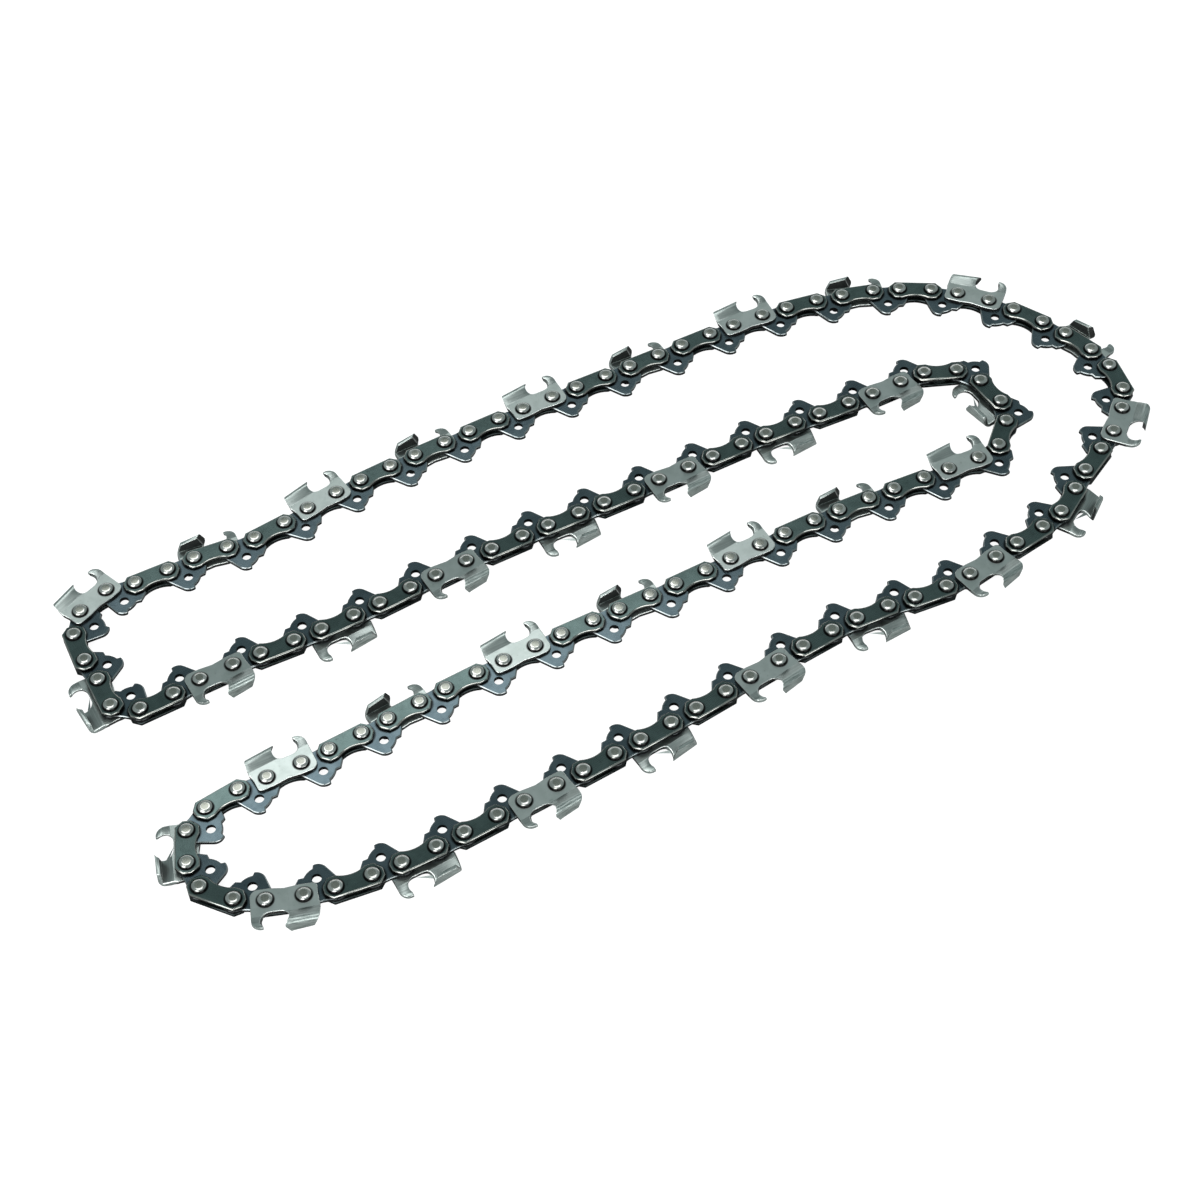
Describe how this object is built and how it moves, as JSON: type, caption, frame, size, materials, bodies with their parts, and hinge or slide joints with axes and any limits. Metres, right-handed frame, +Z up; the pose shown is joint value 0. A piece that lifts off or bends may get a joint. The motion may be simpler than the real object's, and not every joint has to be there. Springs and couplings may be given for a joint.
{
  "type": "chainsaw chain loop",
  "caption": "Closed loop of saw chain folded flat on its side: hooked drive links riveted between waisted tie straps, with flared cutters that alternate left and right.",
  "frame": {"origin": "middle of the folded loop's plan, at the surface that it lies on", "axes": "+X along the long runs, the way the outer far run cuts; +Z up, across the chain, from its left-hand cutters to its right-hand cutters"},
  "size_m": [0.3454, 0.1488, 0.0063],
  "materials": {
    "drive_link_steel": "blued and oiled",
    "strap_steel": "blued and oiled",
    "cutter_steel": "plated and finely ground",
    "rivet_steel": "bright spun heads"
  },
  "bodies": {
    "root": {"drive_links_1": "drive_link_steel", "drive_links_2": "drive_link_steel", "drive_links_3": "drive_link_steel", "drive_links_4": "drive_link_steel", "drive_links_5": "drive_link_steel", "drive_links_6": "drive_link_steel", "left_cutter_01": "cutter_steel", "left_cutter_02": "cutter_steel", "left_cutter_03": "cutter_steel", "left_cutter_04": "cutter_steel", "left_cutter_05": "cutter_steel", "left_cutter_06": "cutter_steel", "left_cutter_07": "cutter_steel", "left_cutter_08": "cutter_steel", "left_cutter_09": "cutter_steel", "left_cutter_10": "cutter_steel", "left_cutter_11": "cutter_steel", "left_cutter_12": "cutter_steel", "left_cutter_13": "cutter_steel", "left_cutter_14": "cutter_steel", "left_cutter_15": "cutter_steel", "left_cutter_16": "cutter_steel", "left_cutter_17": "cutter_steel", "left_cutter_18": "cutter_steel", "right_cutter_01": "cutter_steel", "right_cutter_02": "cutter_steel", "right_cutter_03": "cutter_steel", "right_cutter_04": "cutter_steel", "right_cutter_05": "cutter_steel", "right_cutter_06": "cutter_steel", "right_cutter_07": "cutter_steel", "right_cutter_08": "cutter_steel", "right_cutter_09": "cutter_steel", "right_cutter_10": "cutter_steel", "right_cutter_11": "cutter_steel", "right_cutter_12": "cutter_steel", "right_cutter_13": "cutter_steel", "right_cutter_14": "cutter_steel", "right_cutter_15": "cutter_steel", "right_cutter_16": "cutter_steel", "right_cutter_17": "cutter_steel", "right_cutter_18": "cutter_steel", "rivets_1": "rivet_steel", "rivets_2": "rivet_steel", "rivets_3": "rivet_steel", "rivets_4": "rivet_steel", "rivets_5": "rivet_steel", "rivets_6": "rivet_steel", "tie_straps_1": "strap_steel", "tie_straps_2": "strap_steel", "tie_straps_3": "strap_steel", "tie_straps_4": "strap_steel", "tie_straps_5": "strap_steel", "tie_straps_6": "strap_steel"}
  },
  "joints": []
}
